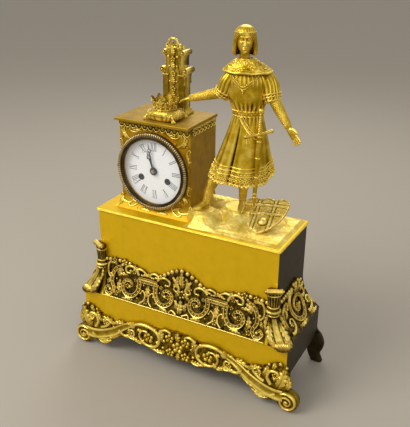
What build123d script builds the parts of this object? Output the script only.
import os
from math import asin, atan2, cos, degrees, hypot, pi, radians, sin

from build123d import *

os.makedirs("parts", exist_ok=True)

# Base casting levels and footprints
plinth_width = 288.0
plinth_depth = 110.4
plinth_bottom = 42.0
plinth_top = 83.0
wall = 2.5
box_width = 245.0
box_depth = 88.0
box_shift = 1.4
ogee_top = 131.0
box_top = 199.0
slab_width = 249.0
slab_depth = 91.8
slab_thickness = 3.2
slab_top = box_top + slab_thickness
edge_round = 1.2

# Applied mounts of the base
apron_thickness = 5.8
apron_sheet = 2.2
foot_radius = 14.4
foot_depth = 14.0
base_half_width = 162.5
relief = 4.4
ground_sheet = 1.2
seat = 0.05
crest_top = 160.0

# Clock case
dial_x = -51.5
dial_z = 257.2
case_width = 98.0
case_front = -19.7
case_back = 43.5
case_wall = 2.0
flare_height = 20.0
flare_out = 8.5
plate_thickness = 3.5
plate_top = 319.1
plate_front = -28.6
plate_back = 44.9
plate_width = 101.0
valance_height = 9.4
valance_thickness = 1.4
scallops_front = 12
scallops_side = 7
front_opening = 43.0
rear_opening = 34.0

# Dial, bezel and hands
dial_radius = 42.0
dial_thickness = 1.5
dial_ring_radius = 47.5
dial_ring_depth = 4.3
dial_ledge = 1.0
ledge_radius = 36.0
bezel_radius = 48.5
bezel_bore = 40.6
bezel_depth = 4.9
bezel_gap = 0.3
glass_thickness = 1.2
glass_rise = 4.0
hand_thickness = 0.7
hour_rest = 21.0
minute_rest = 10.0
hour_length = 25.0
minute_length = 34.0
dial_foot_radius = 1.5
dial_foot_circle = 38.0

# Hinges
pin_radius = 0.8
knuckle_radius = 1.6
knuckle_half = 2.0
hinge_half = 6.0

# Movement plates and arbors
plate_radius = 40.0
plate_sheet = 2.0
front_plate_y = -13.0
pillar_length = 28.0
pillar_radius = 2.2
pivot_radius = 0.6
arbor_radius = 1.1
end_float = 0.3
running = 0.05
barrel_place = (18.5, -10.5)
drum_radius = 15.0
drum_wall = 1.2
winding_square = 3.6
winding_radius = 2.6
train_module = 0.45
going_angle = 100.0
third_angle = 110.0
third_distance = 14.0
escape_place = (0.0, 23.0)
escape_radius = 8.4
escape_teeth = 36
pallet_pitches = 8.5
pallet_gap = 0.3
strike_angle = 95.0
stop_angle = 65.0
fly_angle = 150.0
motion_distance = 12.0
count_place = (-27.0, 0.0)
hammer_place = (-33.0, -16.0)
bell_place = (0.0, -6.0)
bell_radius = 27.0
bell_depth = 12.0
stand_place = (14.0, -35.0)
pendulum_length = 140.0
bob_radius = 22.0

# Wheel and pinion counts
barrel_teeth = 72
intermediate_leaves = 16
intermediate_teeth = 64
centre_leaves = 10
centre_teeth = 80
third_leaves = 8
third_teeth = 80
escape_leaves = 6
pin_leaves = 12
pin_teeth = 60
stop_leaves = 8
stop_teeth = 48
fly_leaves = 8
cannon_leaves = 12
minute_teeth = 36
minute_leaves = 10
hour_teeth = 40

# Figure group
figure_x = 58.0
figure_y = 0.0
figure_turn = 18.0
mound_top = 218.0
step_top = 219.0
mound_place = (48.0, 16.0)
step_place = (12.0, -14.0)
ground_thickness = 3.0
bolt_radius = 2.0
bolt_clear = 0.1
bolt_head = 4.0
crown_place = (-45.0, -5.0)
cushion_top = 331.0
crown_height = 14.0
throne_place = (-45.7, 25.0)
throne_width = 30.0
throne_depth = 16.0
throne_top = 400.0
shield_width = 54.0
shield_length = 52.0
shield_thickness = 3.0


def prism(shape, y0, y1):
    # A flat outline in x and z, carried along y from y0 to y1
    face = Plane(origin=(0, y1, 0), x_dir=(1, 0, 0), z_dir=(0, -1, 0))
    return extrude(face * shape, amount=y1 - y0)


def rod(x, z, radius, y0, y1):
    # A round bar along y
    return prism(Pos(x, z) * Circle(radius), y0, y1)


def block(x0, x1, y0, y1, z0, z1):
    # A box between two corners
    middle = Pos((x0 + x1) / 2, (y0 + y1) / 2, (z0 + z1) / 2)
    return middle * Box(x1 - x0, y1 - y0, z1 - z0)


def polygon(points):
    # A closed straight-sided outline
    return make_face(Polyline(points, close=True))


def strip(points, half):
    # A flat ribbon of even width along a smooth line
    line = Spline(points)
    left = []
    right = []
    steps = 2 * len(points)
    for i in range(steps + 1):
        p = line @ (i / steps)
        t = line % (i / steps)
        left.append((p.X - half * t.Y, p.Y + half * t.X))
        right.append((p.X + half * t.Y, p.Y - half * t.X))
    right.reverse()
    sides = [Spline(left), Line(left[-1], right[0]), Spline(right), Line(right[-1], left[0])]
    return make_face(sides)


def stack(rows):
    # Ellipses (z, x, y, half width, half depth) joined by one smooth skin
    return loft([Pos(x, y, z) * Ellipse(a, b) for z, x, y, a, b in rows])


def limb(rows):
    # Circles (x, y, z, radius) square to the path through their centres
    places = [Vector(x, y, z) for x, y, z, r in rows]
    rings = []
    for i, place in enumerate(places):
        before = places[max(i - 1, 0)]
        after = places[min(i + 1, len(places) - 1)]
        level = Plane(origin=place, z_dir=(after - before).normalized())
        rings.append(level * Circle(rows[i][3]))
    return loft(rings)


def ball(x, y, z, a, b, c):
    # An ellipsoid with three half axes
    return Pos(x, y, z) * scale(Sphere(1), by=(a, b, c))


def mirrored(solid):
    # The same piece on the other side of the middle plane
    return mirror(solid, about=Plane.YZ)


# Base body: a concave band that joins the plinth to the upper box
def band(out, top):
    rows = []
    for t in (0.0, 0.2, 0.45, 0.7, 1.0):
        inward = 1 - (1 - t) ** 2.2
        w = plinth_width + (box_width - plinth_width) * inward + 2 * out
        d = plinth_depth + (box_depth - plinth_depth) * inward + 2 * out
        z = plinth_top + (ogee_top - plinth_top) * t
        rows.append(Pos(0, box_shift * inward, z) * Rectangle(w, d))
    solid = loft(rows)
    if top > ogee_top:
        w = box_width + 2 * out
        d = box_depth + 2 * out
        solid += Pos(0, box_shift, (ogee_top + top) / 2) * Box(w, d, top - ogee_top)
    return solid


core = block(
    -box_width / 2 + wall,
    box_width / 2 - wall,
    box_shift - box_depth / 2 + wall,
    box_shift + box_depth / 2 - wall,
    0,
    box_top,
)
lower_plinth = block(
    -plinth_width / 2,
    plinth_width / 2,
    -plinth_depth / 2,
    plinth_depth / 2,
    plinth_bottom,
    plinth_top,
)
lower_plinth -= block(
    -plinth_width / 2 + wall,
    plinth_width / 2 - wall,
    -plinth_depth / 2 + wall,
    plinth_depth / 2 - wall,
    0,
    plinth_top - wall,
)
lower_plinth -= core
ogee_body = band(0, ogee_top) - core
upper_box = Pos(0, box_shift, (ogee_top + box_top) / 2) * Box(
    box_width, box_depth, box_top - ogee_top
)
upper_box -= core

# Front frieze: a thin ground sheet on the concave band with raised scrollwork
frieze_half = [
    (0, 144.5),
    (14, 140.5),
    (23, 134.5),
    (34, 128.5),
    (50, 127),
    (62, 130),
    (72, 134),
    (85, 137.5),
    (103, 136.5),
    (113, 135),
]
frieze_edge = [(-x, z) for x, z in reversed(frieze_half[1:])] + frieze_half
frieze_end = frieze_half[-1][0] + 4
outline = make_face(
    [
        Spline(frieze_edge),
        Polyline(
            [
                frieze_edge[-1],
                (frieze_end, plinth_top + 0.2),
                (-frieze_end, plinth_top + 0.2),
                frieze_edge[0],
            ]
        ),
    ]
)
frieze_lines = [
    (2.8, [(62, 117), (61, 109), (62.5, 100.5), (68, 93.5), (76, 92), (83, 96), (85.5, 103.5)]),
    (2.2, [(85.2, 101), (85.3, 106), (82, 110), (75.5, 111), (72, 106.5), (75, 103)]),
    (2.8, [(36, 117), (37, 109), (35.5, 100.5), (30, 93.5), (22, 92), (15, 96), (12.5, 103.5)]),
    (2.2, [(12.8, 101), (12.7, 106), (16, 110), (22.5, 111), (26, 106.5), (23, 103)]),
    (2.5, [(88, 128), (96, 124), (101.5, 115), (102.5, 104), (98.5, 95.5), (101, 89)]),
    (2.0, [(63, 121), (67, 129), (75, 131.5), (82, 128), (81.5, 122), (76, 121.5)]),
    (2.0, [(36, 121), (31, 126), (24, 127.5), (18, 124), (18.5, 118.5), (23, 118)]),
    (2.0, [(105, 131), (109.5, 125), (110, 115), (106, 109)]),
    (2.6, [(x, z - 2.2) for x, z in frieze_half[1:]]),
]
scrolls = Pos(49, 116.4) * Rectangle(28, 7)
for half_wide, line in frieze_lines:
    scrolls += strip(line, half_wide)
for x, z, r in ((79, 103, 3.4), (19, 103, 3.4), (107, 92, 5.5), (93, 91, 3.6), (49, 105, 4.5)):
    scrolls += Pos(x, z) * Circle(r)
scrolls += mirror(scrolls, about=Plane.YZ)
scrolls += Pos(0, 112) * Circle(6.8)
scrolls += Pos(0, 132) * Ellipse(5.4, 12.5)
scrolls += Pos(0, 95) * Ellipse(5.6, 9)
front_reach = (-plinth_depth, -box_depth / 4)
sheet = band(ground_sheet, crest_top) - band(seat, crest_top)
raised = band(relief, crest_top) - band(ground_sheet / 2, crest_top)
frieze_front = sheet & prism(outline, *front_reach)
frieze_front += raised & prism(scrolls, *front_reach) & prism(outline, *front_reach)

# Side friezes: relief skins along each side, highest at the middle
side_line = [
    (-36, plinth_top + 0.2),
    (52, plinth_top + 0.2),
    (49.5, 92),
    (43.5, 106),
    (38, 119),
    (31, 131),
    (18, 137),
    (4, 137),
    (-8, 134),
    (-32, 135),
]
side_shape = polygon(side_line)
side_cut = extrude(Plane.YZ * side_shape, amount=plinth_width)
skin = band(relief - 1.2, crest_top) - band(seat, crest_top)
side_frieze = skin & side_cut
side_friezes = Compound([side_frieze.solid(), mirrored(side_frieze).solid()])

# Corner mounts: leaf consoles that follow the mitre of the band
corner_turn = -60.0
corner_shift = (-3.5, -1.0)
console_rows = [
    (plinth_top + 0.1, -6.5, 6.5, 12.0),
    (88.0, -2.5, 6.5, 14.0),
    (95.0, 1.0, 6.2, 13.0),
    (103.0, 2.0, 5.8, 9.5),
    (110.0, 2.0, 5.2, 6.8),
    (117.0, 2.2, 4.9, 5.4),
    (121.0, 2.2, 5.8, 6.2),
    (126.0, 2.2, 7.4, 7.8),
    (131.5, 2.2, 5.8, 6.4),
    (140.0, 2.2, 5.8, 7.2),
    (149.0, 2.4, 6.0, 8.6),
    (154.0, 1.5, 4.6, 7.6),
]


def corner_at(out, aside, z):
    # A point beside the mitre line: outward, across, and up
    t = min((z - plinth_top) / (ogee_top - plinth_top), 1.0)
    run = (1 - t) ** 2.2
    x = box_width / 2 + (plinth_width - box_width) / 2 * run + corner_shift[0]
    y = box_shift - box_depth / 2 + corner_shift[1]
    y -= (plinth_depth / 2 + box_shift - box_depth / 2) * run
    c = cos(radians(corner_turn))
    d = sin(radians(corner_turn))
    return (x + out * c - aside * d, y + out * d + aside * c, z)


console = loft(
    [
        Pos(*corner_at(s, 0, z)) * Rot(0, 0, corner_turn) * Ellipse(a, b)
        for z, s, a, b in console_rows
    ]
)
for out, z, radius, half_long in ((5.6, 152.2, 3.9, 9.6), (3.6, 88.0, 4.4, 8.4)):
    ends = [corner_at(out, -half_long, z), corner_at(out, half_long, z)]
    console += limb([(*ends[0], radius), (*ends[1], radius)])
console -= band(seat, crest_top)
console -= frieze_front
console -= side_frieze
console &= block(0, 200, -62.4, 0, plinth_top, 200)
corner_mount_right = max(console.solids(), key=lambda s: s.volume)
corner_mount_left = mirrored(corner_mount_right)

# Front apron with rolled feet, and the two rear bracket feet
apron_y = -plinth_depth / 2
apron_front = apron_y - apron_thickness
foot_x = base_half_width - foot_radius
apron_top = [
    (0, 64),
    (28, 60),
    (48, 62),
    (64, 58),
    (80, 52.5),
    (95, 50),
    (116, 55),
    (134, 66),
    (146, 63),
    (152, 50),
    (152, 38),
    (foot_x + 3, 2 * foot_radius - 2),
]
apron_low = [
    (foot_x - foot_radius + 1.5, foot_radius - 2),
    (126, 6),
    (115, 9),
    (104, 15),
    (92, 24),
    (80, 29),
    (66, 30),
    (50, 26),
    (27, 22.5),
    (0, 20.5),
]
half = make_face(
    [
        Spline(apron_top),
        Line(apron_top[-1], apron_low[0]),
        Spline(apron_low),
        Line(apron_low[-1], apron_top[0]),
    ]
)
apron_lines = [
    (4.0, [(132, 27), (118, 27), (106, 30), (95, 36), (86, 43), (76, 49), (66, 54)]),
    (3.0, [(67, 54), (56, 58.5), (44, 59), (32, 55), (26.5, 46), (28, 36), (36, 29), (46, 28.5)]),
    (3.0, [(44, 28.5), (48, 29), (55, 33), (58, 42), (53, 49.5), (45, 50)]),
    (2.2, [(126, 33), (122, 42), (126, 51), (134, 52)]),
    (2.4, [(132, 22), (120, 16), (108, 18), (99, 24)]),
]
relief_half = Pos(139, 45) * Rot(0, 0, -17) * Ellipse(8, 19)
for half_wide, line in apron_lines:
    relief_half += strip(line, half_wide)
apron_knobs = (
    (43, 41, 6.6),
    (8.5, 47, 6.4),
    (12, 35, 5.8),
    (5, 58, 4.8),
    (18, 26, 3.4),
    (20, 54, 4.0),
    (108, 46, 4.6),
    (131, 60, 4.0),
    (71, 39, 4.0),
)
for x, z, r in apron_knobs:
    relief_half += Pos(x, z) * Circle(r)
relief_half += Pos(0, 40) * Circle(7.5)
relief_half += Pos(0, 26) * Circle(5.2)
half_apron = prism(half, apron_y - apron_sheet, apron_y)
half_apron += prism(relief_half & half, apron_front, apron_y - apron_sheet / 2)
half_apron += rod(foot_x, foot_radius - 0.4, foot_radius, apron_front + 1.4, apron_front + foot_depth)
half_apron += rod(foot_x, foot_radius - 0.4, foot_radius / 3, apron_front - 1.0, apron_y)
half_apron -= block(0, 200, -100, 0, -5, 0)
front_apron = half_apron + mirrored(half_apron)
front_apron &= block(-200, 200, apron_front - 1.5, 0, 0, 100)
rear_shape = [
    (112, 62),
    (143, 62),
    (144, 47),
    (151, 40),
    (155, 30),
    (154, 20),
    (150, 11),
    (154.5, 0),
    (139, 0),
    (134, 10),
    (131.5, 22),
    (124, 32),
    (116, 42),
]
foot_back = -apron_front + 1.5
rear_foot = prism(polygon(rear_shape), plinth_depth / 2, foot_back)
lower_foot = prism(polygon(rear_shape), foot_back - foot_depth, foot_back)
rear_foot += lower_foot & block(0, 200, 0, 100, 0, plinth_bottom)
rear_feet = Compound([rear_foot.solid(), mirrored(rear_foot).solid()])

# Top slab with the opening that the pendulum hangs through
slab_y0 = box_shift - slab_depth / 2
slab_y1 = box_shift + slab_depth / 2
top_slab = block(-slab_width / 2, slab_width / 2, slab_y0, slab_y1, box_top, slab_top)
top_slab = fillet(top_slab.edges().filter_by(Axis.Z, reverse=True), edge_round)
pendulum_y = front_plate_y + 2 * plate_sheet + pillar_length + 5.3
top_slab -= block(
    dial_x - 20,
    dial_x + 20,
    pendulum_y - 14,
    pendulum_y + 12,
    0,
    slab_top + 1,
)

# Case body: sheet box on a flared foot, open below and round at both faces
case_x0 = dial_x - case_width / 2
case_x1 = dial_x + case_width / 2
plate_bottom = plate_top - plate_thickness
case_middle = (case_front + case_back) / 2
case_depth = case_back - case_front


def flare(out):
    rows = []
    for t in (0.0, 0.15, 0.4, 0.7, 1.0):
        grow = (flare_out + out) * (1 - t) ** 2.2
        d = case_depth + grow
        y = case_middle - grow / 2
        z = slab_top + flare_height * t
        rows.append(Pos(dial_x, y, z) * Rectangle(case_width + 2 * grow, d))
    return loft(rows)


case_shell = block(case_x0, case_x1, case_front, case_back, slab_top, plate_bottom)
case_shell += flare(0)
case_body = case_shell - block(
    case_x0 + case_wall,
    case_x1 - case_wall,
    case_front + case_wall,
    case_back - case_wall,
    0,
    plate_bottom + 1,
)
case_body -= rod(dial_x, dial_z, bezel_radius + 0.8, -60, case_front)
case_body -= rod(dial_x, dial_z, front_opening, case_front, 0)
case_body -= rod(dial_x, dial_z, rear_opening, 0, case_back + 1)
case_top_plate = block(
    dial_x - plate_width / 2,
    dial_x + plate_width / 2,
    plate_front,
    plate_back,
    plate_bottom,
    plate_top,
)
case_top_plate = fillet(case_top_plate.edges().group_by(Axis.Z)[-1], edge_round)


# Valance: scalloped strips under the overhang of the top plate
def scalloped(length, count):
    step = length / count
    radius = step / 2 - 0.25
    strip = Pos(0, -(valance_height - radius) / 2) * Rectangle(length, valance_height - radius)
    for i in range(count):
        strip += Pos(-length / 2 + step * (i + 0.5), radius - valance_height) * Circle(radius)
    return strip


front_strip = prism(
    Pos(dial_x, plate_bottom) * scalloped(case_width, scallops_front),
    case_front - valance_thickness,
    case_front,
)
side_plane = Plane(
    origin=(case_x1, case_middle, plate_bottom), x_dir=(0, 1, 0), z_dir=(1, 0, 0)
)
side_strip = extrude(
    side_plane * scalloped(case_depth - 6, scallops_side), amount=valance_thickness
)
other_strip = mirror(side_strip, about=Plane(origin=(dial_x, 0, 0), z_dir=(1, 0, 0)))
valance = Compound([front_strip.solid(), side_strip.solid(), other_strip.solid()])

# Spandrels: four corner castings around the bezel on the case front
spandrel_low = slab_top + flare_height + 0.5
spandrel_high = plate_bottom - valance_height - 0.5
corner_sheet = Pos(dial_x, (spandrel_low + spandrel_high) / 2) * Rectangle(
    case_width - 5, spandrel_high - spandrel_low
)
corner_sheet -= Pos(dial_x, dial_z) * Circle(bezel_radius + 1.2)
spandrels = Compound(
    [
        s
        for s in prism(corner_sheet, case_front - 1.2, case_front).solids()
        if s.volume > 20
    ]
)

# Dial ring: carries the dial on a ledge, three feet to the front plate, hinge
ring_front = case_front - dial_ring_depth
dial_back = case_front - dial_ledge
dial_front = dial_back - dial_thickness
dial_ring = rod(dial_x, dial_z, dial_ring_radius, ring_front, case_front)
dial_ring -= rod(dial_x, dial_z, dial_radius + 0.1, ring_front, dial_back)
dial_ring -= rod(dial_x, dial_z, ledge_radius, dial_back, case_front)
for turn in (30, 150, 270):
    dial_ring += rod(
        dial_x + dial_foot_circle * cos(radians(turn)),
        dial_z + dial_foot_circle * sin(radians(turn)),
        dial_foot_radius,
        dial_back,
        front_plate_y,
    )
hinge_x = dial_x - bezel_radius - 1.4
hinge_y = ring_front + 1.0
knuckle = Pos(hinge_x, hinge_y, dial_z)
ring_lug = block(
    hinge_x,
    dial_x - dial_ring_radius + 2,
    ring_front + 0.3,
    ring_front + 1.8,
    dial_z - hinge_half,
    dial_z + hinge_half,
)
lug_gap = block(
    hinge_x - 5,
    dial_x - dial_ring_radius - 0.2,
    ring_front - 5,
    case_front,
    dial_z - knuckle_half - 0.3,
    dial_z + knuckle_half + 0.3,
)
dial_ring += (knuckle * Cylinder(knuckle_radius, 2 * hinge_half) + ring_lug) - lug_gap
dial_ring -= knuckle * Cylinder(pin_radius, 4 * hinge_half)
dial_plate_front = ring_front - bezel_gap
bezel_front = dial_plate_front - bezel_depth
front_bezel = rod(dial_x, dial_z, bezel_radius, bezel_front, dial_plate_front)
front_bezel -= rod(dial_x, dial_z, bezel_bore, bezel_front - 1, dial_plate_front)
glass_seat = dial_plate_front - 2.4
front_bezel -= rod(dial_x, dial_z, dial_radius, glass_seat, dial_plate_front)
front_bezel = chamfer(
    front_bezel.edges().group_by(Axis.Y)[0].sort_by(SortBy.LENGTH)[-1:], 2.2
)
bezel_lug = block(
    hinge_x - 0.8,
    dial_x - bezel_radius + 2.5,
    dial_plate_front - 1.7,
    dial_plate_front - 0.05,
    dial_z - knuckle_half,
    dial_z + knuckle_half,
)
door_knuckle = knuckle * Cylinder(knuckle_radius, 2 * knuckle_half)
front_bezel += door_knuckle + bezel_lug
front_bezel -= knuckle * Cylinder(pin_radius + running, 4 * hinge_half)

# Domed glass held in the back of the bezel
glass_rim = dial_radius - 0.1
dome_radius = bezel_bore - 0.6
dome_curve = (dome_radius**2 + glass_rise**2) / (2 * glass_rise)
dome_middle = Pos(dial_x, glass_seat - glass_rise + dome_curve, dial_z)
dial_glass = dome_middle * (Sphere(dome_curve) - Sphere(dome_curve - glass_thickness))
dial_glass &= rod(
    dial_x, dial_z, dome_radius, glass_seat - 2 * glass_rise, glass_seat + glass_thickness
)
glass_lip = Pos(dial_x, dial_z) * (Circle(glass_rim) - Circle(dome_radius - 0.8))
dial_glass += prism(glass_lip, glass_seat, glass_seat + glass_thickness)

# Enamel dial with the centre hole and two winding holes
pipe_radius = 3.1
dial = rod(dial_x, dial_z, dial_radius, dial_front, dial_back)
dial -= rod(dial_x, dial_z, pipe_radius + 0.3, dial_front, dial_back)
for side in (-1, 1):
    dial -= rod(
        dial_x + side * barrel_place[0],
        dial_z + barrel_place[1],
        winding_radius + 0.4,
        dial_front,
        dial_back,
    )

# Rear door on the case back, with its hinge
rear_hinge_x = dial_x + rear_opening + 5.0
rear_hinge_y = case_back + 1.8
door_radius = rear_opening + 3.0
rear_knuckle = Pos(rear_hinge_x, rear_hinge_y, dial_z)
rear_door = rod(dial_x, dial_z, door_radius, case_back + bezel_gap, case_back + 1.5)
rear_door += rod(dial_x, dial_z, 4.0, case_back + bezel_gap, case_back + 2.4)
rear_door += rear_knuckle * Cylinder(knuckle_radius - 0.2, 2 * knuckle_half)
rear_door += block(
    rear_hinge_x - 5,
    rear_hinge_x,
    case_back + 0.5,
    case_back + 1.6,
    dial_z - knuckle_half,
    dial_z + knuckle_half,
)
rear_door -= rear_knuckle * Cylinder(pin_radius + running, 4 * hinge_half)
case_lug = rear_knuckle * Cylinder(knuckle_radius - 0.2, 2 * hinge_half)
case_lug += block(
    rear_hinge_x - 0.8,
    rear_hinge_x + 1.4,
    case_back,
    rear_hinge_y,
    dial_z - hinge_half,
    dial_z + hinge_half,
)
case_lug -= block(
    rear_hinge_x - 9,
    rear_hinge_x + 9,
    case_back,
    case_back + 9,
    dial_z - knuckle_half - 0.3,
    dial_z + knuckle_half + 0.3,
)
case_body += case_lug
case_body -= rear_knuckle * Cylinder(pin_radius, 4 * hinge_half)
pin_length = 2 * hinge_half + 1
hinge_pins = Compound(
    [
        (knuckle * Cylinder(pin_radius, pin_length)).solid(),
        (rear_knuckle * Cylinder(pin_radius, pin_length)).solid(),
    ]
)

# Movement places, measured from the dial centre
inner_y = front_plate_y + plate_sheet
back_plate_y = inner_y + pillar_length
rear_y = back_plate_y + plate_sheet


def toward(start, angle, distance):
    # The point at a distance and bearing from a start point
    return (
        start[0] + distance * cos(radians(angle)),
        start[1] + distance * sin(radians(angle)),
    )


def bearing(a, b):
    return atan2(b[1] - a[1], b[0] - a[0])


def distance(a, b):
    return hypot(b[0] - a[0], b[1] - a[1])


going = barrel_place
strike = (-barrel_place[0], barrel_place[1])
centre = (0.0, 0.0)
intermediate = toward(
    going, going_angle, (barrel_teeth + intermediate_leaves) * train_module / 2
)
centre_module = 2 * distance(intermediate, centre) / (intermediate_teeth + centre_leaves)
third = toward(centre, third_angle, third_distance)
third_module = 2 * third_distance / (centre_teeth + third_leaves)
escape = escape_place
escape_module = 2 * distance(third, escape) / (third_teeth + escape_leaves)
pallet_half = pallet_pitches * 180 / escape_teeth
anchor_at = (escape[0], escape[1] + escape_radius / cos(radians(pallet_half)))
pin_at = toward(strike, strike_angle, (barrel_teeth + pin_leaves) * train_module / 2)
pin_module = 0.42
stop_at = toward(pin_at, stop_angle, (pin_teeth + stop_leaves) * pin_module / 2)
stop_module = 0.34
fly_at = toward(stop_at, fly_angle, (stop_teeth + fly_leaves) * stop_module / 2)
motion_at = (0.0, -motion_distance)
cannon_module = 2 * motion_distance / (cannon_leaves + minute_teeth)
hour_module = 2 * motion_distance / (minute_leaves + hour_teeth)


def world(place):
    return (dial_x + place[0], dial_z + place[1])


def bar(place, radius, y0, y1):
    # A round bar along y at a place measured from the dial centre
    x, z = world(place)
    return rod(x, z, radius, y0, y1)


def toothed(place, teeth, module, phase, y0, y1, leaf=False):
    # Straight-flanked teeth around a pitch circle; leaves are slimmer
    rise = 0.75 if leaf else 0.8
    fall = 1.2 if leaf else 1.15
    foot = 0.21 if leaf else 0.25
    tip = 0.11 if leaf else 0.12
    pitch = 2 * pi / teeth
    low = teeth * module / 2 - fall * module
    high = teeth * module / 2 + rise * module
    x, z = world(place)
    points = []
    for i in range(teeth):
        middle = phase + i * pitch
        for radius, part in ((low, -foot), (high, -tip), (high, tip), (low, foot)):
            turn = middle + part * pitch
            points.append((x + radius * cos(turn), z + radius * sin(turn)))
    return prism(polygon(points), y0, y1)


def spoked(place, rim, hub, arms, y0, y1):
    # Windows between the rim and the hub, left as solids to cut away
    x, z = world(place)
    sheet = Circle(rim) - Circle(hub)
    for i in range(arms):
        sheet -= Rot(0, 0, 360 / arms * i) * Pos(rim / 2, 0) * Rectangle(rim, 1.6)
    return prism(Pos(x, z) * sheet, y0, y1)


def arbor(place, back=0.0):
    # A train arbor with a pivot in each plate
    solid = bar(place, arbor_radius, inner_y + end_float, back_plate_y - end_float)
    solid += bar(place, pivot_radius, front_plate_y + 0.2, rear_y - 0.2 + back)
    return solid


def phase_drive(a, b):
    # A tooth of the first wheel stands on the line of centres
    return bearing(a, b)


def phase_driven(a, b, count):
    # A gap of the second wheel stands on the same line
    return bearing(a, b) + pi + pi / count


# Going barrel, its winding arbor and the wheels up to the escapement
wheel_y0 = inner_y + 3.0
wheel_y1 = inner_y + 5.0
drum_y1 = inner_y + 19.0
upper_y0 = inner_y + 21.0
upper_y1 = inner_y + 22.2
rear_y0 = inner_y + 23.6
rear_y1 = inner_y + 24.6
low_y0 = inner_y + 1.0
low_y1 = inner_y + 2.0
scape_y0 = inner_y + 12.0
scape_y1 = inner_y + 13.2


def barrel(place, partner):
    solid = toothed(
        place, barrel_teeth, train_module, phase_drive(place, partner), wheel_y0, wheel_y1
    )
    solid += bar(place, drum_radius, wheel_y1, drum_y1)
    solid -= bar(place, drum_radius - drum_wall, wheel_y1, drum_y1 - drum_wall)
    solid -= bar(place, winding_radius + running, inner_y, drum_y1)
    return solid


def winding_arbor(place):
    x, z = world(place)
    solid = bar(place, winding_radius, front_plate_y - 1.5, drum_y1 + 0.6)
    solid += bar(place, winding_radius - 1.0, drum_y1, rear_y - 0.2)
    solid += bar(place, 5.0, wheel_y1 + 2, drum_y1 - 3)
    square = Pos(x, z) * Rectangle(winding_square, winding_square)
    solid += prism(square, dial_back - 0.8, front_plate_y)
    return solid


going_barrel = barrel(going, intermediate)
going_arbor = winding_arbor(going)
strike_barrel = barrel(strike, pin_at)
strike_arbor = winding_arbor(strike)

intermediate_wheel = arbor(intermediate)
intermediate_wheel += toothed(
    intermediate,
    intermediate_leaves,
    train_module,
    phase_driven(going, intermediate, intermediate_leaves),
    wheel_y0 - 0.4,
    wheel_y1 + 0.4,
    True,
)
intermediate_wheel += toothed(
    intermediate,
    intermediate_teeth,
    centre_module,
    phase_drive(intermediate, centre),
    upper_y0,
    upper_y1,
) - spoked(intermediate, 12.0, 3.0, 4, upper_y0, upper_y1)

centre_front = dial_front - 3.6
centre_wheel = arbor(centre)
centre_wheel += bar(centre, 1.5, centre_front - 0.4, inner_y + end_float)
centre_wheel += toothed(
    centre,
    centre_leaves,
    centre_module,
    phase_driven(intermediate, centre, centre_leaves),
    upper_y0 - 0.4,
    upper_y1 + 0.4,
    True,
)
centre_wheel += toothed(
    centre, centre_teeth, third_module, phase_drive(centre, third), rear_y0, rear_y1
) - spoked(centre, 10.8, 2.6, 4, rear_y0, rear_y1)

third_wheel = bar(third, arbor_radius, low_y1 + 0.8, rear_y0 - 0.8)
third_wheel += arbor(third) - bar(third, 9, rear_y0 - 0.8, rear_y1 + 0.8)
third_wheel += toothed(
    third,
    third_leaves,
    third_module,
    phase_driven(centre, third, third_leaves),
    rear_y0 - 0.8,
    rear_y1 + 0.8,
    True,
)
third_wheel += toothed(
    third, third_teeth, escape_module, phase_drive(third, escape), low_y0, low_y1
) - spoked(third, 8.6, 2.2, 4, low_y0, low_y1)

escape_wheel = arbor(escape) - bar(escape, 9, low_y0 - 0.4, low_y1 + 0.4)
escape_wheel += toothed(
    escape,
    escape_leaves,
    escape_module,
    phase_driven(third, escape, escape_leaves),
    low_y0 - 0.4,
    low_y1 + 0.4,
    True,
)
tooth_step = 2 * pi / escape_teeth
escape_x, escape_z = world(escape)
escape_points = []
for i in range(escape_teeth):
    for radius, part in ((7.2, -0.3), (escape_radius, -0.03), (escape_radius, 0.03), (7.2, 0.1)):
        turn = (i + part) * tooth_step
        escape_points.append((escape_x + radius * cos(turn), escape_z + radius * sin(turn)))
escape_wheel += prism(polygon(escape_points), scape_y0, scape_y1) - spoked(
    escape, 6.2, 2.0, 4, scape_y0, scape_y1
)

# Anchor: arbor, two pallet arms, and the crutch behind the back plate
anchor = arbor(anchor_at, 2.4)
anchor += bar(anchor_at, 2.0, scape_y0, scape_y1)
for side in (-1, 1):
    turn = 90 - side * pallet_half
    tip = world(toward(escape, turn, escape_radius + pallet_gap))
    heel = world(toward(escape, turn, escape_radius + 2.2))
    hub = world(anchor_at)
    nib_turn = degrees(atan2(heel[1] - tip[1], heel[0] - tip[0]))
    nib_length = hypot(heel[0] - tip[0], heel[1] - tip[1])
    nib = Pos(tip[0], tip[1]) * Rot(0, 0, nib_turn) * Pos(nib_length / 2, 0)
    anchor += prism(nib * Rectangle(nib_length, 0.36), scape_y0, scape_y1)
    arm_turn = degrees(atan2(heel[1] - hub[1], heel[0] - hub[0]))
    arm_length = hypot(heel[0] - hub[0], heel[1] - hub[1])
    arm = Pos(hub[0], hub[1]) * Rot(0, 0, arm_turn) * Pos(arm_length / 2, 0)
    anchor += prism(arm * Rectangle(arm_length + 0.6, 1.4), scape_y0, scape_y1)
crutch_length = 25.0
crutch_y0 = rear_y + 1.2
crutch_y1 = crutch_y0 + 1.2
anchor_x, anchor_z = world(anchor_at)
rod_radius = 0.9
anchor += bar(anchor_at, 2.0, crutch_y0, crutch_y1)
anchor += block(
    anchor_x - 1.0,
    anchor_x + 1.0,
    crutch_y0,
    crutch_y1,
    anchor_z - crutch_length,
    anchor_z,
)
anchor += block(
    anchor_x - 2.6,
    anchor_x + 2.6,
    crutch_y0,
    crutch_y1,
    anchor_z - crutch_length - 2,
    anchor_z - crutch_length,
)
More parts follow.
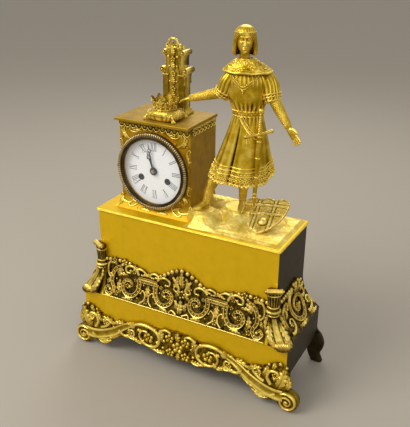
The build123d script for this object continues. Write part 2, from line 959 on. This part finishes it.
for side in (-1, 1):
    prong = anchor_x + side * (rod_radius + 1.05)
    anchor += block(
        prong - 0.65,
        prong + 0.65,
        crutch_y0,
        pendulum_y + 1.6,
        anchor_z - crutch_length - 2,
        anchor_z - crutch_length,
    )

# Suspension cock on the back plate, with the stud that the pendulum hangs on
stud_radius = 1.0
cock_back = pendulum_y + 3.4
suspension_cock = block(
    anchor_x - 5, anchor_x + 5, rear_y, cock_back, anchor_z + 3.0, anchor_z + 4.8
)
suspension_cock += block(
    anchor_x - 2.5,
    anchor_x + 2.5,
    cock_back - 1.5,
    cock_back,
    anchor_z - 2.5,
    anchor_z + 4.8,
)
suspension_cock += bar(anchor_at, stud_radius, pendulum_y - 1.3, cock_back)
pendulum = bar(anchor_at, 2.6, pendulum_y - 1.0, pendulum_y + 1.0)
rod_low = anchor_z - pendulum_length - bob_radius - 7
pendulum += Pos(anchor_x, pendulum_y, (anchor_z - 1.8 + rod_low) / 2) * Cylinder(
    rod_radius, anchor_z - 1.8 - rod_low
)
pendulum += ball(
    anchor_x, pendulum_y, anchor_z - pendulum_length, bob_radius, 6.0, bob_radius
)
pendulum += Pos(anchor_x, pendulum_y, rod_low + 3.5) * Cylinder(3.2, 3.0)
pendulum -= bar(anchor_at, stud_radius + running, pendulum_y - 2, pendulum_y + 2)

# Strike train
pin_wheel = arbor(pin_at)
pin_wheel += toothed(
    pin_at,
    pin_leaves,
    train_module,
    phase_driven(strike, pin_at, pin_leaves),
    wheel_y0 - 0.4,
    wheel_y1 + 0.4,
    True,
)
pin_wheel += toothed(
    pin_at, pin_teeth, pin_module, phase_drive(pin_at, stop_at), upper_y0, upper_y1
) - spoked(pin_at, 8.4, 2.4, 4, upper_y0, upper_y1)
for i in range(10):
    pin_wheel += bar(toward(pin_at, 36 * i, 10.2), 0.45, upper_y1, upper_y1 + 1.0)

stop_y0 = inner_y + 8.0
stop_y1 = inner_y + 9.0
stop_wheel = arbor(stop_at) - bar(stop_at, 9, upper_y0 - 0.6, upper_y1 + 0.6)
stop_wheel += toothed(
    stop_at,
    stop_leaves,
    pin_module,
    phase_driven(pin_at, stop_at, stop_leaves),
    upper_y0 - 0.6,
    upper_y1 + 0.6,
    True,
)
stop_wheel += toothed(
    stop_at, stop_teeth, stop_module, phase_drive(stop_at, fly_at), stop_y0, stop_y1
) - spoked(stop_at, 6.0, 2.0, 4, stop_y0, stop_y1)

fly_x, fly_z = world(fly_at)
fly = arbor(fly_at) - bar(fly_at, 9, stop_y0 - 0.5, stop_y1 + 0.5)
fly += toothed(
    fly_at,
    fly_leaves,
    stop_module,
    phase_driven(stop_at, fly_at, fly_leaves),
    stop_y0 - 0.5,
    stop_y1 + 0.5,
    True,
)
fly += block(fly_x - 5.0, fly_x + 5.0, inner_y + 11, inner_y + 19, fly_z - 0.4, fly_z + 0.4)

# Count wheel: slotted rim on its own stud behind the back plate
count_y0 = rear_y + 0.3
count_y1 = count_y0 + 1.2
count_radius = 12.5
count_wheel = bar(count_place, count_radius, count_y0, count_y1)
count_wheel -= spoked(count_place, 9.4, 3.4, 4, count_y0, count_y1)
count_x, count_z = world(count_place)
blow = 0
for hour in range(1, 13):
    blow += hour + 1
    notch = Rot(0, 0, 360 * blow / 90) * Pos(count_radius, 0) * Rectangle(2.4, 0.5)
    count_wheel -= prism(Pos(count_x, count_z) * notch, count_y0, count_y1)
count_stud = 1.5
count_wheel -= bar(count_place, count_stud + running, count_y0 - 1, count_y1 + 1)

# Bell on a bent stand, and the hammer on its stud
bell_y0 = pendulum_y + 3.0
bell_x, bell_z = world(bell_place)
bell_apex = bell_y0 + bell_depth
sheet_bell = 1.2
bell_lip = 3.5
bell_flat = 5.0
bell_bore = 1.5


def bell_section(radius, apex):
    # Straight lip, a shoulder arc level with the flat top, and the flat top
    wide = radius - bell_flat
    high = apex - bell_y0 - bell_lip
    sweep = (wide * wide + high * high) / (2 * high)
    half_turn = asin(wide / sweep) / 2
    middle = (bell_flat + sweep * sin(half_turn), apex - sweep + sweep * cos(half_turn))
    shoulder = (radius, bell_y0 + bell_lip)
    return make_face(
        [
            Line((0, bell_y0), (radius, bell_y0)),
            Line((radius, bell_y0), shoulder),
            ThreePointArc(shoulder, middle, (bell_flat, apex)),
            Line((bell_flat, apex), (0, apex)),
            Line((0, apex), (0, bell_y0)),
        ]
    )


bell_plane = Plane(origin=(bell_x, 0, bell_z), x_dir=(1, 0, 0), z_dir=(0, 0, 1))
bell_axis = Axis((bell_x, 0, bell_z), (0, 1, 0))
bell = revolve(bell_plane * bell_section(bell_radius, bell_apex), bell_axis)
bell -= revolve(
    bell_plane * bell_section(bell_radius - sheet_bell, bell_apex - sheet_bell), bell_axis
)
bell -= bar(bell_place, bell_bore, bell_y0, bell_apex + 1)
stand_x, stand_z = world(stand_place)
bell_stand = bar(stand_place, 2.0, rear_y, bell_apex + 1.4)
arm_turn = degrees(bearing(stand_place, bell_place))
arm_length = distance(stand_place, bell_place)
stand_arm = Pos(stand_x, stand_z) * Rot(0, 0, arm_turn) * Pos(arm_length / 2, 0)
bell_stand += prism(
    stand_arm * SlotCenterToCenter(arm_length, 5.0), bell_apex, bell_apex + 1.4
)
bell_stand += bar(bell_place, bell_bore - running, bell_apex - 3.0, bell_apex)

hammer_stud = 1.2
hammer_y0 = bell_y0 + 0.6
hammer_y1 = hammer_y0 + 1.6
head_at = toward(bell_place, 161.5, bell_radius + 3.0 + 0.5)
hammer_x, hammer_z = world(hammer_place)
hammer = bar(hammer_place, 2.6, hammer_y0, hammer_y1)
hammer += bar(head_at, 3.0, hammer_y0, hammer_y0 + 4.0)
stem_turn = degrees(bearing(hammer_place, head_at))
stem_length = distance(hammer_place, head_at)
stem = Pos(hammer_x, hammer_z) * Rot(0, 0, stem_turn) * Pos(stem_length / 2, 0)
hammer += prism(stem * Rectangle(stem_length, 1.8), hammer_y0, hammer_y1)
hammer -= bar(hammer_place, hammer_stud + running, hammer_y0 - 1, hammer_y1 + 1)

# Plates and pillars
pillar_turns = ((42, 36.0), (172, 36.5), (-60, 36.0), (-120, 36.0))
pillar_places = [toward(centre, turn, reach) for turn, reach in pillar_turns]
pillars = Compound(
    [bar(place, pillar_radius, inner_y, back_plate_y).solid() for place in pillar_places]
)
train_places = (intermediate, third, escape, anchor_at, pin_at, stop_at, fly_at)
front_plate = rod(dial_x, dial_z, plate_radius, front_plate_y, inner_y)
back_plate = rod(dial_x, dial_z, plate_radius, back_plate_y, rear_y)
for place in train_places:
    hole = pivot_radius + running
    front_plate -= bar(place, hole, front_plate_y, inner_y)
    back_plate -= bar(place, hole, back_plate_y, rear_y)
back_plate -= bar(centre, pivot_radius + running, back_plate_y, rear_y)
front_plate -= bar(centre, 1.5 + running, front_plate_y, inner_y)
for place in (going, strike):
    front_plate -= bar(place, winding_radius + running, front_plate_y, inner_y)
    back_plate -= bar(place, winding_radius - 1.0 + running, back_plate_y, rear_y)
motion_stud = 0.8
front_plate += bar(motion_at, motion_stud, front_plate_y - 6.0, front_plate_y)
back_plate += bar(count_place, count_stud, rear_y, count_y1 + 0.5)
back_plate += bar(hammer_place, hammer_stud, rear_y, hammer_y1 + 0.5)
back_plate += bar(hammer_place, 2.2, rear_y, hammer_y0 - 0.3)

# Motion work and hands
cannon_radius = 2.3
cannon_pinion = bar(centre, cannon_radius, centre_front, front_plate_y - 0.6)
cannon_pinion += toothed(
    centre,
    cannon_leaves,
    cannon_module,
    phase_driven(motion_at, centre, cannon_leaves),
    front_plate_y - 2.6,
    front_plate_y - 0.8,
    True,
)
cannon_pinion -= bar(centre, 1.5 + running, centre_front - 1, front_plate_y)
minute_wheel = toothed(
    motion_at,
    minute_teeth,
    cannon_module,
    phase_drive(motion_at, centre),
    front_plate_y - 2.3,
    front_plate_y - 1.1,
)
minute_wheel += toothed(
    motion_at,
    minute_leaves,
    hour_module,
    phase_driven(centre, motion_at, minute_leaves),
    front_plate_y - 5.4,
    front_plate_y - 2.3,
    True,
)
minute_wheel -= bar(motion_at, motion_stud + running, front_plate_y - 9, front_plate_y)
hour_wheel = toothed(
    centre,
    hour_teeth,
    hour_module,
    phase_drive(centre, motion_at),
    front_plate_y - 5.0,
    front_plate_y - 3.8,
)
hour_hand_y1 = dial_front - 0.9
hour_hand_y0 = hour_hand_y1 - hand_thickness
minute_hand_y1 = hour_hand_y0 - 0.9
minute_hand_y0 = minute_hand_y1 - hand_thickness
hour_wheel += bar(centre, pipe_radius, hour_hand_y0 - 0.2, front_plate_y - 3.2)
hour_wheel -= bar(centre, cannon_radius + running, -60, 0)


def hand(length, ring_at, ring, hub, bore, turn, y0, y1):
    # A hollow-moon hand: hub, slim blade, open ring and a fine point
    sheet = Circle(hub)
    sheet += polygon([(-0.9, 0), (0.9, 0), (0.5, ring_at), (-0.5, ring_at)])
    sheet += polygon([(-0.8, ring_at), (0.8, ring_at), (0.12, length), (-0.12, length)])
    sheet += Pos(0, ring_at) * Circle(ring)
    sheet -= Pos(0, ring_at + 0.3) * Circle(ring - 0.8)
    sheet -= Circle(bore)
    return prism(Pos(dial_x, dial_z) * Rot(0, 0, turn) * sheet, y0, y1)


hour_hand = hand(
    hour_length, 18.0, 2.6, 5.0, pipe_radius + 0.01, hour_rest, hour_hand_y0, hour_hand_y1
)
minute_hand = hand(
    minute_length,
    26.0,
    2.3,
    4.0,
    cannon_radius + 0.01,
    minute_rest,
    minute_hand_y0,
    minute_hand_y1,
)

# Ground: rough plate with two mounds that the figure stands on
mound_x, mound_y = mound_place
step_x, step_y = step_place
ground_low = slab_top + ground_thickness
ground = block(3.0, box_width / 2 - 2, slab_y0 + 4, slab_y1 - 4, slab_top, ground_low)
ground = fillet(ground.edges().group_by(Axis.Z)[-1], edge_round)
ground += stack(
    [
        (slab_top, mound_x, mound_y, 44, 30),
        (ground_low + 3, mound_x, mound_y, 34, 24),
        (mound_top - 4, mound_x, mound_y, 25, 20),
        (mound_top, mound_x, mound_y, 20, 17),
    ]
)
ground += stack(
    [
        (slab_top, step_x, step_y, 21, 22),
        (ground_low + 2, step_x, step_y, 19, 19),
        (step_top - 4, step_x, step_y, 15, 16),
        (step_top, step_x, step_y, 12, 13),
    ]
)
ground &= block(-20, slab_width / 2, slab_y0 + 1, slab_y1 - 1, slab_top, step_top)
ground -= block(case_x0, case_x1 + 0.05, -60, 60, 0, plate_top)
ground -= flare(0.05)
ground = max(ground.solids(), key=lambda s: s.volume)

# Bolts from under the slab into the ground
bolt_places = (mound_place, (step_x + 5, step_y + 2))
bolts = []
for x, y in bolt_places:
    shank = Pos(x, y, (box_top + slab_top + 4) / 2) * Cylinder(
        bolt_radius, slab_top + 4 - box_top
    )
    head = Pos(x, y, box_top - 1.5) * extrude(RegularPolygon(bolt_head, 6), amount=1.5, both=True)
    bolts.append((shank + head).solid())
    bore = Pos(x, y, box_top) * Cylinder(bolt_radius + bolt_clear, 20)
    top_slab -= bore
    ground -= bore & block(-200, 200, -100, 100, slab_top, slab_top + 4.5)
fixing_bolts = Compound(bolts)


# Figure: all stations in the figure's own frame, turned about its axis
def figure(solid):
    return Pos(figure_x, figure_y, 0) * Rot(0, 0, figure_turn) * solid


tunic = stack(
    [
        (261, -4.8, -1, 36.4, 25.6),
        (270, -4, -1, 34.5, 24),
        (288, -2, 0, 30, 21),
        (308, 0, 0, 25, 17.5),
        (324, 1, 0, 21, 14.5),
        (340, 1.5, 0, 16.2, 11.6),
        (351, 1, 0, 19.0, 13.4),
        (364, 0, 0, 23, 15.2),
        (376, 0, 0, 24.5, 14.5),
        (386, -1, 0.5, 19, 11.5),
        (396, -3, 1, 8.0, 7.6),
    ]
)
tunic += stack(
    [
        (383, -0.5, 0, 25.5, 16.4),
        (387, -0.5, 0, 27.0, 17.6),
        (391, -1.5, 0.5, 22.0, 14.0),
        (398, -3, 1, 8.4, 8.0),
    ]
)
tunic += stack([(337, 1.5, 0, 17.8, 13.2), (344, 1.5, 0, 17.8, 13.2)])
hem_cut = Pos(40, 0, -20) * Box(80, 100, 40)
tunic -= Pos(8, 0, 261) * Rot(0, -33, 0) * hem_cut
tunic -= Pos(-15, 0, 261) * Rot(0, 11.5, 0) * mirrored(hem_cut)
tunic = figure(tunic)

# Head: neck, skull, bobbed hair and a brow band
head_z = 419.0
neck_base = 396.0
head_shift = -4.2
head = limb([(0, 1, neck_base, 6.2), (0, 1, 400, 5.8), (0, 0.5, 408, 6.0)])
head += ball(0, 0, head_z, 10.0, 12.0, 14.0)
hair = stack(
    [
        (400.5, 0, 2.5, 12.6, 10.5),
        (407, 0, 2.5, 13.6, 11.8),
        (416, 0, 1.5, 13.0, 13.0),
        (425, 0, 0.8, 11.8, 13.4),
        (431, 0, 0.8, 8.6, 10.0),
        (434, 0, 0.8, 3.0, 3.5),
    ]
)
hair -= Pos(0, -12, 411) * Box(17, 16, 26)
head += hair
head += limb([(0, -11.4, 419.5, 1.0), (0, -13.2, 415.0, 1.7), (0, -11.0, 413.5, 1.2)])
head = figure(Pos(head_shift, 0, 0) * Rot(0, 0, 6) * head)
head -= tunic

# Arms with open hands
def hand_part(wrist, along, across, spread, size):
    # A palm and five tapering fingers from a wrist point
    w = Vector(*wrist)
    a = Vector(*along).normalized()
    c = Vector(*across).normalized()

    def point(forward, aside):
        p = w + a * forward + c * aside
        return (p.X, p.Y, p.Z)

    solid = limb(
        [
            (*point(-2, 0), 3.6 * size),
            (*point(4 * size, 0), 4.6 * size),
            (*point(9 * size, 0), 4.2 * size),
        ]
    )
    for i in range(4):
        aside = (i - 1.5) * 2.2 * size
        reach = (17.5, 19.0, 18.0, 15.5)[i] * size
        solid += limb(
            [
                (*point(6 * size, aside), 1.5 * size),
                (*point(12 * size, aside * (1 + spread)), 1.35 * size),
                (*point(reach, aside * (1 + 1.8 * spread)), 0.9 * size),
            ]
        )
    solid += limb(
        [
            (*point(2 * size, -2.5 * size), 1.7 * size),
            (*point(7 * size, -6 * size), 1.5 * size),
            (*point(11 * size, -7.5 * size), 1.0 * size),
        ]
    )
    return solid


right_arm = limb(
    [(41, -7, 379, 7.5), (37, -8, 370, 9.0), (34, -8, 361, 8.6), (28, -8, 357.5, 6.6)]
)
right_arm += limb(
    [(32, -8, 360, 6.0), (16, -7.5, 356, 5.6), (-4, -6.5, 350, 4.2), (-11, -6, 348, 3.6)]
)
right_arm += hand_part((-10, -6, 348.3), (-1, 0.05, -0.3), (0, -1, 0), 0.1, 0.86)
right_arm -= tunic
right_arm = max(right_arm.solids(), key=lambda s: s.volume)
left_arm = limb(
    [(76, 8, 379, 7.5), (81, 7, 371, 9.2), (84, 5, 361, 9.0), (87.5, 3, 353, 6.8)]
)
left_arm += limb(
    [(86, 4, 359, 6.2), (96, 1, 347, 5.6), (107, -3, 334, 4.2), (110.5, -4, 329, 3.6)]
)
left_arm += hand_part((110, -4, 329.7), (0.7, -0.25, -0.67), (-0.6, 0.4, -0.7), 0.35, 1.12)
left_arm -= tunic
left_arm = max(left_arm.solids(), key=lambda s: s.volume)

# Legs in hose with pointed shoes
def shoe(heel, toe, sole, wide):
    # A pointed shoe with a flat sole between a heel point and a toe point
    h = Vector(heel[0], heel[1], 0)
    t = Vector(toe[0], toe[1], 0)
    a = (t - h).normalized()
    length = (t - h).length
    rows = []
    for f, r, rise in ((0.0, 0.62, 3.5), (0.25, 0.95, 5.0), (0.6, 1.0, 4.0), (1.0, 0.25, 1.5)):
        p = h + a * (length * f)
        level = Plane(origin=(p.X, p.Y, sole + rise * 0.7), z_dir=(a.X, a.Y, 0))
        rows.append(level * Circle(wide * r))
    solid = loft(rows)
    return solid & block(-200, 200, -200, 200, sole, sole + 60)


left_leg = limb(
    [
        (54, 10, 268, 7.4),
        (53, 11.5, 256, 6.8),
        (51, 14, 245, 6.0),
        (49, 17, 234, 4.9),
        (48, 18.5, 223, 4.5),
    ]
)
left_leg += shoe((46, 22), (57, -2), mound_top, 5.2)
left_leg -= tunic
left_leg = max(left_leg.solids(), key=lambda s: s.volume)
right_leg = limb(
    [
        (25, -4, 268, 7.6),
        (22, -4.5, 257, 7.0),
        (17.5, -5.5, 246, 6.2),
        (14, -6.5, 236, 5.0),
        (12, -8, 224, 4.6),
    ]
)
right_leg += shoe((13.5, -5.5), (4.5, -24.5), step_top, 5.2)
right_leg -= tunic
right_leg -= block(case_x0, case_x1 + 0.3, -60, 60, 0, plate_top)
right_leg -= flare(0.3)
right_leg = max(right_leg.solids(), key=lambda s: s.volume)

# Sword in its scabbard, hung at the hip
sword_top = Vector(77.5, -5.5, 344)
sword_tip = Vector(78.5, -17.0, 243)
sword_way = (sword_tip - sword_top).normalized()


def on_sword(d, radius):
    p = sword_top + sword_way * d
    return (p.X, p.Y, p.Z, radius)


sword = limb([on_sword(0, 2.0), on_sword(14, 1.7), on_sword(25, 2.0)])
sword += ball(sword_top.X, sword_top.Y, sword_top.Z, 3.4, 3.0, 3.4)
sword += limb([on_sword(22, 3.2), on_sword(60, 2.9), on_sword(95, 2.4), on_sword(109, 0.9)])
guard = sword_top + sword_way * 25
sword += limb(
    [
        (guard.X - 10, guard.Y - 13, guard.Z - 1, 2.0),
        (guard.X, guard.Y - 1, guard.Z, 1.8),
        (guard.X + 9, guard.Y + 12, guard.Z + 2, 2.0),
    ]
)
sword -= tunic
sword = max(sword.solids(), key=lambda s: s.volume)

# Shield: heater outline, bent plate, leaning on the mound
shield_frame = Plane(
    origin=(85.6, -19.7, 203.9), x_dir=(0.992, 0.075, 0.09), z_dir=(-0.041, -0.448, 0.873)
)
shield_line = [
    (0, 0),
    (13, 9),
    (23, 24),
    (shield_width / 2, 42),
    (shield_width / 2 - 2, shield_length),
]
shield_face = make_face(
    [
        Spline(shield_line),
        ThreePointArc(shield_line[-1], (4, shield_length + 5), (2 - shield_width / 2, shield_length)),
        Spline([(-x, y) for x, y in reversed(shield_line)]),
    ]
)
shield = shield_frame * extrude(shield_face, amount=shield_thickness)
shield += shield_frame * Pos(2, 17, shield_thickness) * scale(Sphere(1), by=(6, 6, 3.4))
shield -= ground
shield -= left_leg
shield -= sword
shield = max(shield.solids(), key=lambda s: s.volume)

# Cushion with a crowned top and drawn-in sides, and the open crown
crown_x, crown_y = crown_place
cushion_rows = [
    (plate_top, 16.5, 14.0),
    (321.0, 19.0, 15.5),
    (324.5, 22.0, 17.0),
    (327.5, 21.5, 16.8),
    (330.0, 18.5, 15.8),
    (cushion_top, 15.4, 14.8),
]
cushion = loft(
    [
        Pos(crown_x + 0.5, crown_y, z) * RectangleRounded(2 * a, 2 * b, 0.8 * b)
        for z, a, b in cushion_rows
    ]
)
crown = stack(
    [
        (cushion_top, crown_x, crown_y, 13.0, 13.0),
        (cushion_top + 4, crown_x, crown_y, 13.2, 13.2),
        (cushion_top + 9, crown_x, crown_y, 15.0, 15.0),
        (cushion_top + crown_height, crown_x, crown_y, 17.4, 17.4),
    ]
)
crown -= stack(
    [
        (cushion_top, crown_x, crown_y, 11.4, 11.4),
        (cushion_top + 4, crown_x, crown_y, 11.6, 11.6),
        (cushion_top + 9, crown_x, crown_y, 13.4, 13.4),
        (cushion_top + crown_height, crown_x, crown_y, 15.8, 15.8),
    ]
)
for i in range(8):
    notch = Pos(crown_x, crown_y, cushion_top + crown_height) * Rot(0, 0, 45 * i + 22.5)
    crown -= notch * Pos(16, 0, 0) * Rot(0, 90, 0) * Cylinder(4.2, 12)
crown += Pos(crown_x, crown_y, cushion_top + 1.2) * (
    Cylinder(13.8, 2.4) - Cylinder(11.4, 2.4)
)
right_arm -= crown
right_arm -= case_top_plate
right_arm = max(right_arm.solids(), key=lambda s: s.volume)

# Throne back: panel with scrolled shoulders, base block and ring crest
throne_x, throne_y = throne_place
tw = throne_width / 2
panel_half = [
    (tw, plate_top + 7),
    (tw, 366),
    (tw + 1.5, 373),
    (tw - 3, 377),
    (tw - 4, 388),
    (tw - 2, 394),
    (tw - 6, throne_top),
]
panel = [(throne_x + x, z) for x, z in panel_half]
panel += [(throne_x - x, z) for x, z in reversed(panel_half)]
throne_y0 = throne_y - throne_depth / 2
throne_y1 = throne_y + throne_depth / 2
throne = prism(polygon(panel), throne_y0, throne_y1)
throne += block(
    throne_x - tw - 4,
    throne_x + tw + 4,
    throne_y0 - 1,
    throne_y1 + 2,
    plate_top,
    plate_top + 7,
)
for side in (-1, 1):
    throne += rod(throne_x + side * tw, 372, 3.8, throne_y0 - 1, throne_y1 + 1)
    throne += rod(throne_x + side * (tw - 2.5), 393, 3.4, throne_y0 - 1, throne_y1 + 1)
    pilaster = throne_x + side * (tw - 3.5)
    throne += block(
        pilaster - 3, pilaster + 3, throne_y0 - 1.6, throne_y0, plate_top + 7, 366
    )
crest_x = throne_x - 1
throne += rod(crest_x, throne_top + 2, 8.0, throne_y0 - 1, throne_y0 + 6)
throne -= rod(crest_x, throne_top + 2, 4.0, throne_y0 - 2, throne_y1)
for i in range(7):
    throne += ball(throne_x, throne_y0, 331 + i * 9.0, 4.0, 2.2, 4.0)
throne -= cushion
throne = max(throne.solids(), key=lambda s: s.volume)

nodes = {
    "front_apron": front_apron,
    "rear_feet": rear_feet,
    "lower_plinth": lower_plinth,
    "ogee_body": ogee_body,
    "frieze_front": frieze_front,
    "side_friezes": side_friezes,
    "corner_mount_left": corner_mount_left,
    "corner_mount_right": corner_mount_right,
    "upper_box": upper_box,
    "top_slab": top_slab,
    "ground": ground,
    "fixing_bolts": fixing_bolts,
    "case_body": case_body,
    "case_top_plate": case_top_plate,
    "valance": valance,
    "spandrels": spandrels,
    "throne": throne,
    "cushion": cushion,
    "crown": crown,
    "tunic": tunic,
    "head": head,
    "right_arm": right_arm,
    "left_arm": left_arm,
    "right_leg": right_leg,
    "left_leg": left_leg,
    "sword": sword,
    "shield": shield,
    "dial": dial,
    "dial_ring": dial_ring,
    "front_bezel": front_bezel,
    "dial_glass": dial_glass,
    "hinge_pins": hinge_pins,
    "rear_door": rear_door,
    "front_plate": front_plate,
    "back_plate": back_plate,
    "pillars": pillars,
    "going_barrel": going_barrel,
    "going_arbor": going_arbor,
    "intermediate_wheel": intermediate_wheel,
    "centre_wheel": centre_wheel,
    "third_wheel": third_wheel,
    "escape_wheel": escape_wheel,
    "anchor": anchor,
    "suspension_cock": suspension_cock,
    "pendulum": pendulum,
    "strike_barrel": strike_barrel,
    "strike_arbor": strike_arbor,
    "pin_wheel": pin_wheel,
    "stop_wheel": stop_wheel,
    "fly": fly,
    "count_wheel": count_wheel,
    "bell": bell,
    "bell_stand": bell_stand,
    "hammer": hammer,
    "cannon_pinion": cannon_pinion,
    "minute_wheel": minute_wheel,
    "hour_wheel": hour_wheel,
    "hour_hand": hour_hand,
    "minute_hand": minute_hand,
}
for name, solid in nodes.items():
    export_step(solid, f"parts/{name}.step")
    box = solid.bounding_box()
    print(name, len(solid.solids()), round(solid.volume, 1), box.min, box.max)
